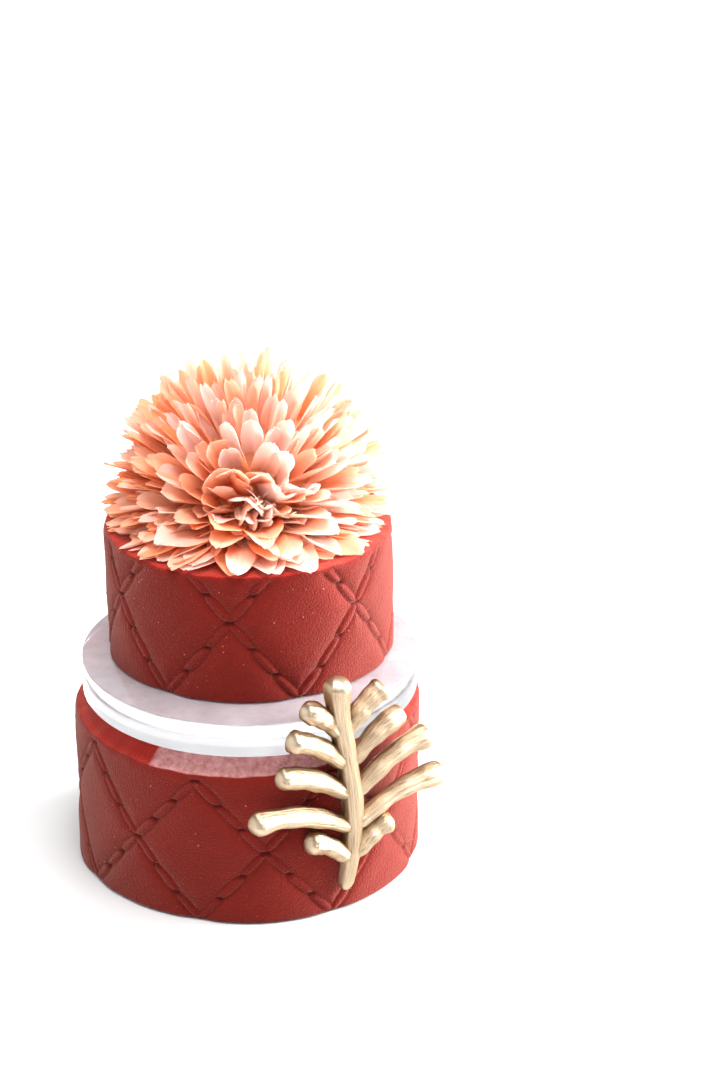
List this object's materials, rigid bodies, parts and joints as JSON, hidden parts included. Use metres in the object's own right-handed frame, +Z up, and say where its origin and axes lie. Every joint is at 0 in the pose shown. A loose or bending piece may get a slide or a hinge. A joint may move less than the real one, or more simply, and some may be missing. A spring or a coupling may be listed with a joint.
{
  "type": "tiered birthday cake",
  "caption": "Round cake in quilted red tiers on a clear separator disc, with a gold piped sprig on its side and a large peach blossom on top.",
  "frame": {"origin": "centre of the lower tier's underside, on its axis", "axes": "+Z up, -Y the front as pictured, +X to the right of the front"},
  "size_m": [0.1394, 0.1457, 0.1971],
  "materials": {
    "red_icing": "soft matte, finely grained, pressed with a quilted pattern",
    "clear_disc": "clear and polished",
    "gold_icing": "satin, brushed along the strokes",
    "petals": "thin, waxy and slightly see-through"
  },
  "bodies": {
    "root": {"lower_tier": "red_icing", "separator_disc": "clear_disc", "upper_tier": "red_icing", "gold_sprig": "gold_icing", "blossom": "petals"}
  },
  "joints": []
}
